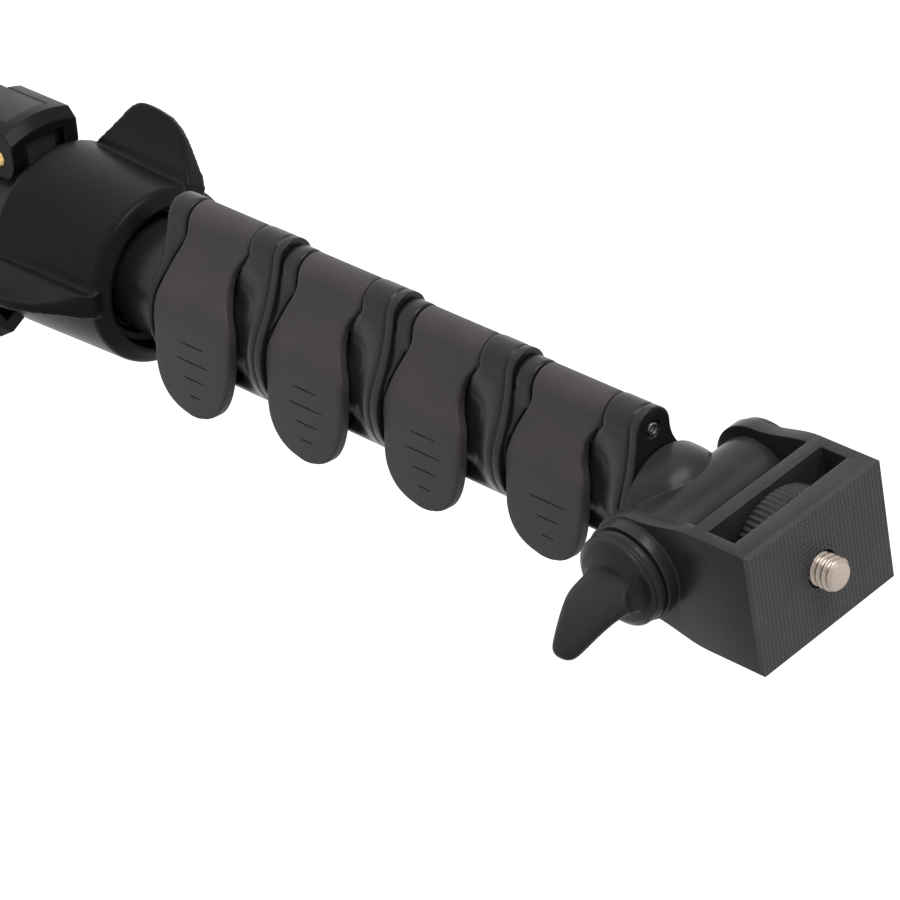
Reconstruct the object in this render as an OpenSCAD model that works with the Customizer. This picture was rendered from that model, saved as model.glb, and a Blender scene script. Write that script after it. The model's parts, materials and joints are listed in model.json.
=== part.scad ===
// Folded camera tripod: a pole of five telescoping tubes with four lever collars,
// a slotted tilt head on top, and a winged twist collar over the three folded legs.
// Z runs up the pole and its axis is X = Y = 0. The feet stand on Z = 0.
// X points to the wing knob. The lever hinges lie on the -Y side.

/* [Legs] */
// Height of the leg pins above the floor, legs folded
leg_length = 194.8; // [150:0.5:240]
// Distance of the leg pins from the pole axis
leg_pin_out = 17.2; // [17:0.1:17.6]
// Bearing of the first leg round the pole
leg_bearing = -96.4; // [-110:0.1:-80]
// Width of a leg top across its two cheeks
leg_top_w = 16.8; // [16:0.1:17.5]
// Length of a leg top along the leg
leg_top_len = 16.7; // [14:0.1:24]
// Width of the leg channel
channel_w = 10; // [9:0.1:10.6]
// Sheet thickness of the leg channel
channel_wall = 1.2; // [1:0.1:1.5]
// Radius, about the pole axis, of the rounded outer faces of the legs
leg_outer_r = 24.5; // [24:0.1:26]
// Radius of the leg pins
leg_pin_r = 1.3; // [1:0.05:1.5]
// Height of the rubber foot
foot_h = 15; // [12:0.5:30]

/* [Twist collar] */
// Length of the twist collar
twist_len = 31.5; // [29:0.1:40]
// Radius of the twist collar at its lower end
twist_rear_r = 19; // [18.6:0.1:20]
// Radius of the twist collar at its upper end
twist_front_r = 18; // [17.2:0.1:18.5]
// Radius from the pole axis to the wing tips
wing_reach = 29.8; // [26:0.1:33]
// Thickness of a wing at its tip
wing_tip_t = 1.9; // [1.5:0.1:3]
// Thickness of a wing where it meets the collar
wing_root_t = 5; // [4:0.1:7]

/* [Pole] */
// Outer radius of the lowest tube
tube_1_r = 11.6; // [11.4:0.1:12]
// Wall thickness of every tube
tube_wall = 0.8; // [0.6:0.05:0.9]
// Radial space between one tube and the next
tube_gap = 0.4; // [0.3:0.05:0.6]
// Bare tube between the twist collar and the first lever collar
bare_tube = 7; // [2:0.5:30]
// Length of the bottom guide sleeve on each sliding tube
sleeve_len = 12; // [8:1:20]

/* [Lever collars] */
// Length of the lowest lever collar below its end plate
first_collar_len = 32.3; // [30:0.1:40]
// Spacing from one lever collar to the next
collar_pitch = 30.24; // [30.2:0.02:36]
// Thickness of a collar's end plate
end_plate_t = 1.8; // [1.2:0.1:2.4]
// Thickness of a collar's wall outside its tube
collar_wall = 2.1; // [2:0.1:2.6]
// Distance from the collar's round body to the lever's hinge
hinge_out = 5.1; // [5:0.1:5.6]
// Radius of the hinge lugs
lug_r = 4.2; // [3.8:0.1:4.4]
// Radius of the steel hinge pins
hinge_pin_r = 1.25; // [0.8:0.05:1.5]
// Length of collar bore that guides the next tube
guide_len = 15; // [14:0.5:18]

/* [Levers] */
// Length of the lowest lever's free tab
tab_len = 17.5; // [14:0.1:22]
// Amount by which each next lever's tab is shorter
tab_step = 0.8; // [0:0.1:1]
// Thickness of a lever where it wraps the tube
wrap_t = 1.5; // [1.2:0.05:1.6]
// Thickness of a lever at its thick upper edge and its tab
lever_t = 2.7; // [2.2:0.1:2.9]

/* [Head] */
// Width of the camera plate along X
plate_w = 33.7; // [32:0.1:42]
// Depth of the camera plate along Y
plate_d = 24.9; // [22:0.1:27]
// Height of the camera face above the tilt axis
head_h = 27.3; // [27:0.1:34]
// Thickness of the wall above the thumbwheel slot, with its pad
front_wall = 5.2; // [4.6:0.1:6]
// Height of the thumbwheel slot
slot_h = 6.2; // [5.6:0.1:7]
// Width of the thumbwheel slot
slot_w = 29; // [26:0.1:29.6]
// Thickness of the rubber pad
pad_t = 1.2; // [0.8:0.1:2]
// Thickness of the cheeks beside the tee
cheek_t = 2.54; // [2.2:0.02:3]
// Radius of the cheeks round the tilt axis
cheek_r = 10; // [9.5:0.1:11]
// Radius of the tee's cross barrel
barrel_r = 8.2; // [7.6:0.1:8.6]
// Radius of the tee's foot
tee_foot_r = 11; // [9.5:0.1:11.4]
// Height of the tilt axis above the tee's foot
tilt_rise = 9.2; // [9:0.1:12]
// Radius of the tilt bolt
tilt_bolt_r = 3; // [2.5:0.1:3]
// Radius of the knurled thumbwheel
wheel_r = 12.2; // [10:0.1:12.3]
// Thickness of the thumbwheel
wheel_t = 4.5; // [3.5:0.1:5]
// Radius of the camera screw
screw_r = 3.175; // [3:0.005:3.2]
// Length of camera screw that stands above the pad
screw_out = 4.1; // [3:0.1:6]

/* [Wing knob] */
// Radius of the knob's hub disc
knob_r = 9; // [7.5:0.1:9.4]
// Distance the knob's blade stands out from its hub disc
blade_out = 14; // [11:0.5:17]
// Height of the blade at its root
blade_root_w = 12; // [9:0.1:14]
// Height of the blade at its tip
blade_tip_w = 5; // [4:0.1:7]
// Thickness of the blade
blade_t = 3; // [2.4:0.1:3.6]

/* [Clearances] */
// Radial clearance of a running fit
run_fit = 0.05; // [0.02:0.01:0.1]
// Gap between parts that are fixed together
seat_gap = 0.02; // [0.01:0.01:0.05]
// Gap between faces that move past each other
move_gap = 0.3; // [0.2:0.05:0.4]

/* [Hidden] */
$fn = 48;
hair = 0.01;
over = 60;

// Heights up the pole
pin_z = leg_length;
cap_above_pin = 4.6;
cap_top = pin_z + cap_above_pin;
leg_swing_gap = 2.6;
twist_z = cap_top + leg_swing_gap;
twist_top = twist_z + twist_len;
first_seam = twist_top + bare_tube + first_collar_len;
stack_gap = collar_gap();
tee_z = seam(4) + end_plate_t + stack_gap;
tilt_z = tee_z + tilt_rise;
plate_z = tilt_z + head_h;

// Radii of the pole
tube_step = tube_wall + tube_gap;
pole_bottom = 8;
plug_flange = 2;
plug_in = 6;
tube_stagger = 2;
hub_wall = 1.65;
hub_r = tube_1_r + run_fit + hub_wall;
neck_r = hub_r + 0.9;
hub_drop = 16.8;

// Levers and their hinges
hinge_x = 0.25;
wrap_end = -10;
wrap_start = -68;
wrap_inset = 1.5;
strip_end = 40;
neg_fillet = 8;
pos_fillet = 40;
lug_low = 24.3;
lug_high = 6.7;
lever_low = 28.5;
lever_high = 5.8;
shoulder_t = 1.2;
thick_zone = guide_len - shoulder_t - 0.4;
fillet_bite = 0.03;

function seam(k) = first_seam + (k - 1) * collar_pitch;
function collar_gap() = 0.2;
function collar_len(k) = k == 1 ? first_collar_len : collar_pitch - end_plate_t - stack_gap;
function tube_r(k) = tube_1_r - (k - 1) * tube_step;
function body_r(k) = tube_r(k) + collar_wall;
function hinge_at(k) = [hinge_x, -(body_r(k) + hinge_out)];
function tube_low(k) = k == 1 ? pole_bottom + plug_flange
    : pole_bottom + plug_flange + plug_in + (k - 1) * tube_stagger;
function tube_high(k) = k == 5 ? tilt_z - tilt_bolt_r - 0.8 : seam(k) - guide_len;
function tab(k) = tab_len - (k - 1) * tab_step;

// Point at t on a cubic curve through four control points
function curve(p, t) = pow(1 - t, 3) * p[0] + 3 * t * pow(1 - t, 2) * p[1]
    + 3 * t * t * (1 - t) * p[2] + pow(t, 3) * p[3];
function curve_points(p, n) = [for (i = [0:n - 1]) curve(p, i / n)];

// Centre of the fillet circle that touches two circles, on one side of the line between
function fillet_centre(r0, r1, p, rf, side) =
    let (d = norm(p), u = p / d,
        a = (pow(r0 + rf, 2) - pow(r1 + rf, 2) + d * d) / (2 * d),
        h = sqrt(pow(r0 + rf, 2) - a * a))
    a * u + side * h * [-u[1], u[0]];

module rod_x(r, x0, x1) {
    translate([x0, 0, 0]) rotate([0, 90, 0]) cylinder(r = r, h = x1 - x0);
}

module rod_y(r, y0, y1) {
    translate([0, y1, 0]) rotate([90, 0, 0]) cylinder(r = r, h = y1 - y0);
}

module rod_z(r, z0, z1) {
    translate([0, 0, z0]) cylinder(r = r, h = z1 - z0);
}

// A flat shape drawn in Y and Z, made thick along X
module slab_x(x0, x1) {
    translate([x0, 0, 0]) rotate([90, 0, 90]) linear_extrude(x1 - x0) children();
}

// A flat shape drawn in X and Z, made thick along Y
module slab_y(y0, y1) {
    translate([0, y1, 0]) rotate([90, 0, 0]) linear_extrude(y1 - y0) children();
}

module slab_z(z0, z1) {
    translate([0, 0, z0]) linear_extrude(z1 - z0) children();
}

// Ring about the pole axis
module ring(inner, outer, z0, z1) {
    difference() {
        rod_z(outer, z0, z1);
        rod_z(inner, z0 - 1, z1 + 1);
    }
}

// Everything from one bearing to another, as a wedge out of the origin
module wedge(from, to, reach) {
    polygon(concat([[0, 0]], [for (i = [0:6])
        let (a = from + (to - from) * i / 6) reach * [cos(a), sin(a)]]));
}

// Turns a leg drawn towards +X to its own bearing
module at_leg(i) {
    rotate([0, 0, leg_bearing + (i - 1) * 120]) children();
}

// Hub: the barrel that the pole slides in, the neck for the twist collar, and a lug for
// each leg
neck_reach = 20;
neck_top = twist_z + neck_reach;
lug_half_w = channel_w / 2 - channel_wall - 0.2;
lug_round = 3.2;
collet_r = tube_1_r + run_fit;
collet_wall = 1.15;
collet_slot_foot = 8;
collet_slot_w = 1;

module hub() {
    color([0.13, 0.13, 0.14]) difference() {
        union() {
            rod_z(hub_r, pin_z - hub_drop, twist_z);
            rod_z(neck_r, twist_z, neck_top);
            for (i = [1:3]) at_leg(i) leg_lug();
        }
        rod_z(collet_r, pin_z - hub_drop - 1, neck_top + 1);
        rod_z(collet_r + collet_wall + run_fit, twist_z + 2, neck_top + 1);
        for (i = [1:3]) at_leg(i)
            translate([leg_pin_out, 0, pin_z]) rod_y(leg_pin_r + run_fit, -over, over);
    }
}

module leg_lug() {
    slab_y(-lug_half_w, lug_half_w) {
        translate([leg_pin_out, pin_z]) circle(lug_round);
        polygon([[hub_r - 1, pin_z + lug_round], [leg_pin_out, pin_z + lug_round],
            [leg_pin_out, pin_z - lug_round], [hub_r - 1, pin_z - lug_round * 3.4]]);
    }
}

// Collet: a split sleeve whose coned head the twist collar squeezes on to the pole
collet_head = 2.4;
module collet() {
    color([0.2, 0.2, 0.2]) difference() {
        union() {
            rod_z(collet_r + collet_wall, twist_z + 2 + seat_gap, neck_top + collet_head);
            rod_z(neck_r - 0.4, neck_top + seat_gap, neck_top + collet_head);
            translate([0, 0, neck_top + collet_head])
                cylinder(r1 = neck_r - 0.4, r2 = collet_r + 0.4, h = collet_head);
        }
        rod_z(collet_r, twist_z, twist_top);
        for (a = [0:60:120]) rotate([0, 0, a])
            translate([-over / 2, -collet_slot_w / 2, twist_z + collet_slot_foot])
                cube([over, collet_slot_w, over]);
    }
}

// Twist collar: a slightly coned body with three wings that thicken towards their roots
mouth_r = 14.4;
mouth_depth = 4.3;
face_drop = 1.5;
wing_phase = -130;

module twist_collar() {
    color([0.16, 0.15, 0.16]) difference() {
        union() {
            rotate_extrude() polygon([[0, twist_z], [twist_rear_r - 0.5, twist_z],
                [twist_rear_r, twist_z + 0.5], [twist_front_r, twist_top - face_drop - 0.5],
                [twist_front_r - 0.5, twist_top - face_drop],
                [mouth_r + 0.6, twist_top], [0, twist_top]]);
            for (i = [0:2]) rotate([0, 0, wing_phase + i * 120]) wing();
        }
        rod_z(neck_r + run_fit, twist_z - 1, neck_top + seat_gap);
        translate([0, 0, neck_top]) cylinder(r = neck_r - 0.2, h = collet_head);
        translate([0, 0, neck_top + collet_head - hair])
            cylinder(r1 = neck_r - 0.2, r2 = collet_r + 0.6, h = collet_head + hair);
        rod_z(collet_r + 0.6, twist_z, twist_top + 1);
        rod_z(mouth_r, twist_top - mouth_depth, twist_top + 1);
    }
}

module wing() {
    root = twist_front_r - 1.5;
    root_half = wing_root_t / 2;
    tip_half = wing_tip_t / 2;
    flare = 24;
    intersection() {
        slab_z(twist_z, twist_top) difference() {
            translate([root, -root_half]) square([wing_reach - root, wing_root_t]);
            for (side = [-1, 1])
                translate([wing_reach - 1, side * (tip_half + flare)]) circle(flare, $fn = 96);
        }
        slab_y(-root_half, root_half) polygon(wing_outline());
    }
}

function wing_outline() =
    let (root = twist_front_r - 1.5, tip = wing_reach)
    concat([[root, twist_z + 1.6]],
        [[root, twist_top - 0.8]],
        curve_points([[twist_front_r + 0.4, twist_top - 0.8], [tip - 6.4, twist_top - 5],
            [tip - 0.6, twist_top - 9.5], [tip - 0.4, twist_top - 16.5]], 7),
        curve_points([[tip - 0.4, twist_top - 16.5], [tip + 0.2, twist_top - 23],
            [tip, twist_z + 7.4], [tip - 5, twist_z + 5.2]], 6),
        [[tip - 5, twist_z + 5.2]]);

// Leg top: two cheeks and a bridge that hold the channel, hung on the hub's lug
bevel = 2;
bridge_drop = 4.5;
cheek_in = leg_pin_out - 4;

module leg_top(i) {
    slot_half = channel_w / 2 + run_fit;
    lip_in = leg_pin_out + lug_round;
    color([0.12, 0.12, 0.13]) at_leg(i) difference() {
        intersection() {
            rotate_extrude() polygon([[0, cap_top - leg_top_len],
                [leg_outer_r, cap_top - leg_top_len], [leg_outer_r, cap_top - bevel],
                [leg_outer_r - bevel, cap_top], [0, cap_top]]);
            translate([cheek_in, -leg_top_w / 2, 0]) cube([over, leg_top_w, over * 9]);
        }
        translate([0, -slot_half, 0]) cube([over, 2 * slot_half, cap_top - bridge_drop]);
        translate([0, -slot_half, 0]) cube([lip_in, 2 * slot_half, over * 9]);
        translate([0, -slot_half, 0]) cube([lip_in + 1.8, 2 * slot_half, cap_top - 2.5]);
        slab_y(-over, over) difference() {
            translate([0, pin_z]) square([leg_pin_out, over]);
            translate([leg_pin_out, pin_z]) circle(cap_above_pin);
        }
        leg_pin_hole();
    }
}

module leg_pin_hole() {
    translate([leg_pin_out, 0, pin_z]) rod_y(leg_pin_r, -over, over);
}

// Leg: a folded channel, open towards the pole, with its outer face rounded
channel_low = 3;
channel_in = 14;
channel_top = cap_top - bridge_drop - 0.2;

module leg(i) {
    half = channel_w / 2;
    color([0.2, 0.2, 0.21]) at_leg(i) difference() {
        union() {
            slab_z(channel_low, channel_top) difference() {
                intersection() {
                    circle(leg_outer_r - 0.1);
                    translate([channel_in, -half]) square([over, channel_w]);
                }
                intersection() {
                    circle(leg_outer_r - 0.1 - channel_wall);
                    translate([0, channel_wall - half]) square([over, channel_w - 2 * channel_wall]);
                }
            }
            for (side = [-1, 1]) translate([leg_pin_out, side * (half - channel_wall / 2), pin_z])
                rod_y(3, -channel_wall / 2, channel_wall / 2);
        }
        leg_pin_hole();
    }
}

// Foot: a rubber shoe moulded round the end of the channel, with a plug inside it
foot_side = 1.8;
foot_plug_h = foot_h - 2;

module leg_foot(i) {
    half = channel_w / 2;
    color([0.07, 0.07, 0.07]) at_leg(i) {
        difference() {
            intersection() {
                rotate_extrude() polygon([[0, 0], [leg_outer_r - 0.4, 0], [leg_outer_r + 0.8, 1.2],
                    [leg_outer_r + 0.8, foot_h - 1], [leg_outer_r, foot_h], [0, foot_h]]);
                translate([channel_in - 0.6, -half - foot_side, 0])
                    cube([over, channel_w + 2 * foot_side, over]);
            }
            slab_z(channel_low, over) intersection() {
                circle(leg_outer_r - 0.1 + seat_gap);
                translate([channel_in - over, -half - seat_gap])
                    square([over * 2, channel_w + 2 * seat_gap]);
            }
            for (x = [17.2, 20.4]) translate([x, -over, -1]) cube([1.2, 2 * over, 1.8]);
        }
        slab_z(channel_low - 0.5, foot_plug_h) intersection() {
            circle(leg_outer_r - 0.1 - channel_wall - seat_gap);
            translate([channel_in, channel_wall + seat_gap - half])
                square([over, channel_w - 2 * channel_wall - 2 * seat_gap]);
        }
    }
}

module leg_pin(i) {
    head_r = leg_pin_r + 0.7;
    head_t = 0.6;
    color([0.78, 0.6, 0.25]) at_leg(i) translate([leg_pin_out, 0, pin_z]) {
        rod_y(leg_pin_r - seat_gap / 2, -leg_top_w / 2 - head_t / 2, leg_top_w / 2 + head_t / 2);
        for (side = [-1, 1]) translate([0, side * leg_top_w / 2, 0]) rotate([-90 * side, 0, 0])
            cylinder(r1 = head_r, r2 = leg_pin_r, h = head_t);
    }
}

module tube(k) {
    color([0.3, 0.3, 0.32]) ring(tube_r(k) - tube_wall, tube_r(k), tube_low(k), tube_high(k));
}

// Closes the bottom of the lowest tube
module pole_plug() {
    color([0.07, 0.07, 0.07]) {
        rotate_extrude() polygon([[0, pole_bottom], [tube_1_r - 1, pole_bottom],
            [tube_1_r, pole_bottom + 1], [tube_1_r, pole_bottom + plug_flange],
            [0, pole_bottom + plug_flange]]);
        rod_z(tube_1_r - tube_wall - seat_gap, pole_bottom + 1,
            pole_bottom + plug_flange + plug_in);
    }
}

// Sleeve fixed round the bottom of a tube, sliding in the tube outside it
module sleeve(k) {
    color([0.85, 0.85, 0.82]) ring(tube_r(k) + seat_gap, tube_r(k - 1) - tube_wall - run_fit,
        tube_low(k), tube_low(k) + sleeve_len);
}

// Fills between a round body and a hinge lug up to the fillet circle on one side
module lug_web(r0, r1, p, rf, side) {
    f = fillet_centre(r0 - fillet_bite, r1 - fillet_bite, p, rf, side);
    difference() {
        polygon([[0, 0], f, p]);
        translate(f) circle(rf, $fn = 128);
    }
}

// Outline of a lever collar, drawn in by a small amount where asked
module collar_outline(k, inset) {
    p = hinge_at(k);
    circle(body_r(k) - inset);
    translate(p) circle(lug_r - inset);
    lug_web(body_r(k) - inset, lug_r - inset, p, pos_fillet, 1);
    lug_web(body_r(k) - inset, lug_r - inset, p, neg_fillet, -1);
}

// Room that the closed lever takes out of the collar, seen along the pole
module lever_pocket(k, depth) {
    r = body_r(k);
    difference() {
        wedge(wrap_start, wrap_end + 4, r + 6);
        circle(r - depth);
    }
    difference() {
        wedge(-90, wrap_start + 3, r + 12);
        circle(r + web_skin);
        translate(hinge_at(k)) circle(root_r - move_gap);
    }
    rotate([0, 0, wrap_end]) translate([r - depth - 0.15, 0]) square([depth + 3, r + 4]);
}

// The same room seen from the side, in Y and Z from the seam: the lever's outline with
// space to swing
function pocket_side(k) =
    let (hinge = -(body_r(k) + hinge_out), dip = lever_dip(k), low = lever_belly(k) - move_gap)
    concat([[hinge + 1.5, -lug_high - 1]],
        curve_points([[hinge + 2, -7], [hinge + 4.2, -7.8], [dip - 2.6, -9.8], [dip - 1.2, -9.8]], 4),
        curve_points([[dip - 1.2, -9.8], [dip + 1.6, -9.8], [dip + 4, -5.4], [dip + 7, -5.4]], 5),
        [[dip + 7, -5.4], [over, -5.4], [over, low], [-1, low]],
        curve_points([[-1, low], [-0.45 * body_r(k) - 1, low], [hinge + 6.2, -28],
            [hinge + 3.3, -26.3]], 5),
        [[hinge + 2.7, -26.8], [hinge + 1.1, -26.2], [hinge + 1.1, -lug_low + 0.7]]);

// Smooth channel round the collar between the lever and the front band
module front_channel(k) {
    r = body_r(k);
    top = seam(k);
    difference() {
        rotate([0, 0, channel_from]) rotate_extrude(angle = channel_to - channel_from)
            polygon(concat([[r + 5, top - channel_back], [r - 2.6, top - channel_back]],
                curve_points([[r - 2.6, top - 8], [r - 2.6, top - 4],
                    [r - 1.2, top - 1.9], [r + 0.8, top - 1.7]], 7),
                [[r + 0.8, top - 1.7], [r + 5, top - 1.7]]));
        rotate([0, 0, channel_from]) translate([channel_ease, 0, 0])
            rod_z(r - channel_ease + 0.1, top - channel_back - 2, top);
    }
}

// Room between the two hinge lugs, down to the round body
module lug_room(k) {
    difference() {
        translate([-over, -over]) square([2 * over, over - 6]);
        circle(body_r(k) - lug_room_bite);
    }
}

seam_groove = 0.25;
flare_h = 12;
rear_flare = 0.7;
thin_depth = wrap_t + 0.1;
thick_depth = lever_t + 0.05;
lug_room_bite = 0.05;
web_skin = 0.1;
root_r = lug_r + 1.5;
channel_back = 10.5;
channel_from = -70;
channel_to = 36;
channel_ease = 5.5;

module collar(k) {
    r = body_r(k);
    top = seam(k);
    low = top - collar_len(k);
    shoulder = tube_high(k);
    color([0.12, 0.12, 0.12]) difference() {
        union() {
            slab_z(low, top) collar_outline(k, 0);
            slab_z(top - 1, top + 1) collar_outline(k, seam_groove);
            slab_z(top + seam_groove, top + end_plate_t) collar_outline(k, 0);
            translate([0, 0, low]) cylinder(r1 = r + rear_flare, r2 = r - 0.2, h = flare_h);
        }
        slab_z(top - lug_low, top - lug_high) lug_room(k);
        rod_z(tube_r(k) + seat_gap, low - 1, shoulder);
        rod_z(tube_r(k + 1) + run_fit, low - 1, top + end_plate_t + 1);
        intersection() {
            union() {
                slab_z(top - over, shoulder + shoulder_t + hair) lever_pocket(k, thin_depth);
                slab_z(shoulder + shoulder_t, top) lever_pocket(k, thick_depth);
            }
            slab_x(0.5, over) translate([0, top]) polygon(pocket_side(k));
        }
        front_channel(k);
        translate(hinge_at(k)) rod_z(hinge_pin_r, low - 1, top + end_plate_t + 1);
        shoe_pocket(k);
    }
}

// Window through the collar's wall, towards the lever's hinge
shoe_w = 5;
shoe_h = 5.4;
shoe_up = 1.6;
module shoe_pocket(k) {
    translate([-shoe_w / 2 - seat_gap, -body_r(k) - 1, seam(k) - guide_len + shoe_up])
        cube([shoe_w + 2 * seat_gap, body_r(k) + 1, shoe_h + 2 * seat_gap]);
}

// Brake shoe: a block with a hollow face that the lever presses against the sliding tube
module brake_shoe(k) {
    low = seam(k) - guide_len + shoe_up + seat_gap;
    color([0.75, 0.74, 0.7]) difference() {
        intersection() {
            translate([-shoe_w / 2, -body_r(k) - 5, low]) cube([shoe_w, body_r(k) + 1, shoe_h]);
            rod_z(body_r(k) + 0.2, low - 1, low + shoe_h + 1);
        }
        rod_z(tube_r(k + 1) + run_fit, low - 1, low + shoe_h + 1);
    }
}

module hinge_pin(k) {
    color([0.6, 0.6, 0.6]) translate(hinge_at(k))
        rod_z(hinge_pin_r - seat_gap / 2, seam(k) - lever_low + 2, seam(k) + end_plate_t);
}

// Lever: a barrel round the hinge pin, a web, a wrap round the collar, and a free tab.
// Its flat pattern is a leaf, drawn in Y and Z, that trims the bent strip.
module lever(k) {
    p = hinge_at(k);
    top = seam(k);
    color([0.29, 0.275, 0.275]) difference() {
        intersection() {
            union() {
                slab_z(top - lever_low, top - lever_high) lever_strip(k, wrap_t);
                slab_z(top - thick_zone, top - lever_high) lever_strip(k, lever_t);
            }
            slab_x(-over, over) translate([0, top]) polygon(lever_leaf(k));
        }
        translate(p) rod_z(hinge_pin_r + run_fit, top - over, top + over);
        // Clear of the rear lug, closed and open
        translate(p) rod_z(root_r, top - over, top - lug_low + move_gap);
        translate([-over, -over, top - over]) cube([over + 0.8, over, over - lug_low + move_gap]);
        // The side of the barrel that faces the shoe once the lever is open
        translate([p[0], p[1], top - over]) rotate([0, 0, 192])
            translate([lug_r - 0.8, -over / 2, 0]) cube([over, over, 2 * over]);
        grip_grooves(k);
    }
}

module lever_strip(k, t) {
    r = body_r(k);
    out = r + 0.2;
    barrel = lug_r - 0.1;
    p = hinge_at(k);
    // Barrel and web
    difference() {
        union() {
            translate(p) circle(barrel);
            lug_web(out, barrel, p, pos_fillet, 1);
        }
        circle(out - t);
        difference() {
            circle(r + move_gap);
            wedge(wrap_start + wrap_inset, strip_end, 2 * r);
        }
    }
    // Wrap
    difference() {
        intersection() {
            circle(out);
            wedge(wrap_start + wrap_inset, wrap_end, 2 * r);
        }
        circle(out - t);
    }
    // Tab, with a thicker pad at its end
    pad_from = 7.5;
    tip_t = lever_t - 0.3;
    rotate([0, 0, wrap_end]) translate([out, 0])
        polygon([[-0.2, -0.5], [-0.2, 0], [0, 0], [0, tab(k)], [-tip_t, tab(k)],
            [-lever_t, pad_from + 2], [-t, pad_from], [-t, 0], [0.2 - t, 0], [0.2 - t, -0.5]]);
}

// Leaf shape of lever k, in Y and Z from the seam
function lever_dip(k) = -(body_r(k) - 1.5);
function lever_belly(k) = -lever_low + 0.1 + 0.15 * (k - 1);
function lever_leaf(k) =
    let (r = body_r(k), hinge = -(r + hinge_out), back = hinge - lug_r - 1,
        tip = tip_y(k), tip_z = -17.6, dip = lever_dip(k), dip_z = -10.4,
        crest = -0.26 * r, crest_z = -lever_high - 0.1 - 0.6 * (k - 1), low = lever_belly(k))
    concat([[back, -lug_low + move_gap], [back, -lug_high - move_gap], [hinge + 1, -lug_high - move_gap]],
        curve_points([[hinge + 2.2, -7.1], [hinge + 4.4, -8], [dip - 1.8, dip_z], [dip, dip_z]], 5),
        curve_points([[dip, dip_z], [dip + 3, dip_z], [crest - 4, crest_z], [crest, crest_z]], 6),
        curve_points([[crest, crest_z], [tip * 0.55, crest_z], [tip, tip_z + 7], [tip, tip_z]], 8),
        curve_points([[tip, tip_z], [tip, tip_z - 8], [tip * 0.5, low], [0, low]], 8),
        curve_points([[0, low], [-0.45 * r, low], [hinge + 7.5, -27.6], [hinge + 4.5, -25.9]], 6),
        [[hinge + 4.5, -25.9], [hinge + 2.6, -24.2], [hinge + 1, -lug_low + move_gap]]);

function tip_y(k) = (body_r(k) + 0.2) * sin(wrap_end) + tab(k) * cos(wrap_end);

// Five fine grooves across the tab, the middle one longest
groove_r = 0.42;
groove_pitch = 1.25;
groove_from = 2.6;
module grip_grooves(k) {
    for (i = [-2:2]) {
        half = 4 - 1.3 * abs(i);
        rotate([0, 0, wrap_end])
            translate([body_r(k) + 0.2 + groove_r / 2,
                tab(k) - groove_from - groove_pitch * (i + 2), seam(k) - 17.4]) rod_z(groove_r, -half, half);
    }
}

// Tee: a cross barrel blended down to a round foot, with a socket for the top tube
washer_t = 0.4;
tee_half = plate_w / 2 - cheek_t - washer_t - 2 * run_fit;
foot_ring_h = 1.5;

module tee() {
    color([0.13, 0.13, 0.14]) difference() {
        union() {
            rotate_extrude() polygon(concat([[0, tee_z], [tee_foot_r - 0.3, tee_z],
                [tee_foot_r, tee_z + 0.3]],
                curve_points([[tee_foot_r, tee_z + foot_ring_h], [tee_foot_r, tilt_z - 3.5],
                    [barrel_r + 1.2, tilt_z - 0.6], [barrel_r - 2, tilt_z + 0.8]], 8),
                [[barrel_r - 2, tilt_z + 0.8], [0, tilt_z + 0.8]]));
            translate([0, 0, tilt_z]) rod_x(barrel_r, -tee_half, tee_half);
        }
        rod_z(tube_r(5) + seat_gap, tee_z - 1, tube_high(5));
        translate([0, 0, tilt_z]) rod_x(tilt_bolt_r + run_fit, -over, over);
    }
}

// Head bracket: the slotted block under the camera and its two cheeks
cheek_x = plate_w / 2 - cheek_t;
block_drop = 13;
rear_wall = 2.8;
near_boss = 2.56;
far_boss = 1.56;
boss_r = 9.4;
bolt_head_r = 5.5;
bolt_head_t = 1.4;
screw_stub_r = 2.5;

module head_bracket() {
    slot_z = plate_z - front_wall - slot_h;
    block_low = min(slot_z - rear_wall, plate_z - block_drop);
    color([0.13, 0.13, 0.14]) difference() {
        union() {
            difference() {
                slab_x(-plate_w / 2, plate_w / 2) bracket_side();
                translate([-cheek_x, -over, 0]) cube([2 * cheek_x, 2 * over, block_low]);
            }
            translate([0, 0, tilt_z]) {
                rod_x(boss_r, plate_w / 2 - 1, plate_w / 2 + near_boss);
                rod_x(boss_r, -plate_w / 2 - far_boss, 1 - plate_w / 2);
            }
        }
        translate([-slot_w / 2, -over, slot_z]) cube([slot_w, 2 * over, slot_h]);
        rod_z(screw_r + run_fit, plate_z - front_wall - 1, plate_z + 1);
        rod_z(screw_stub_r + run_fit, block_low - 1, slot_z + 1);
        translate([0, 0, tilt_z]) {
            rod_x(tilt_bolt_r + seat_gap, -over, over);
            rod_x(bolt_head_r + seat_gap, -over, bolt_head_t - plate_w / 2 - far_boss);
        }
    }
}

// Side of the bracket: square at the plate, then drawn in to the round of the cheeks
module bracket_side() {
    half = plate_d / 2;
    draw_in = [[half, plate_z - block_drop], [half, plate_z - block_drop - 5],
        [cheek_r + 0.6, tilt_z + 7], [cheek_r - 0.05, tilt_z]];
    side = concat(curve_points(draw_in, 7), [[cheek_r - 0.05, tilt_z]]);
    translate([0, tilt_z]) circle(cheek_r);
    polygon(concat([[half, plate_z - pad_t]], side, [for (i = [len(side) - 1:-1:0])
        [-side[i][0], side[i][1]]], [[-half, plate_z - pad_t]]));
}

module rubber_pad() {
    color([0.1, 0.1, 0.1]) difference() {
        slab_z(plate_z - pad_t, plate_z) square([plate_w, plate_d], center = true);
        rod_z(screw_r + 0.4, plate_z - over, plate_z + 1);
    }
}

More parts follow.
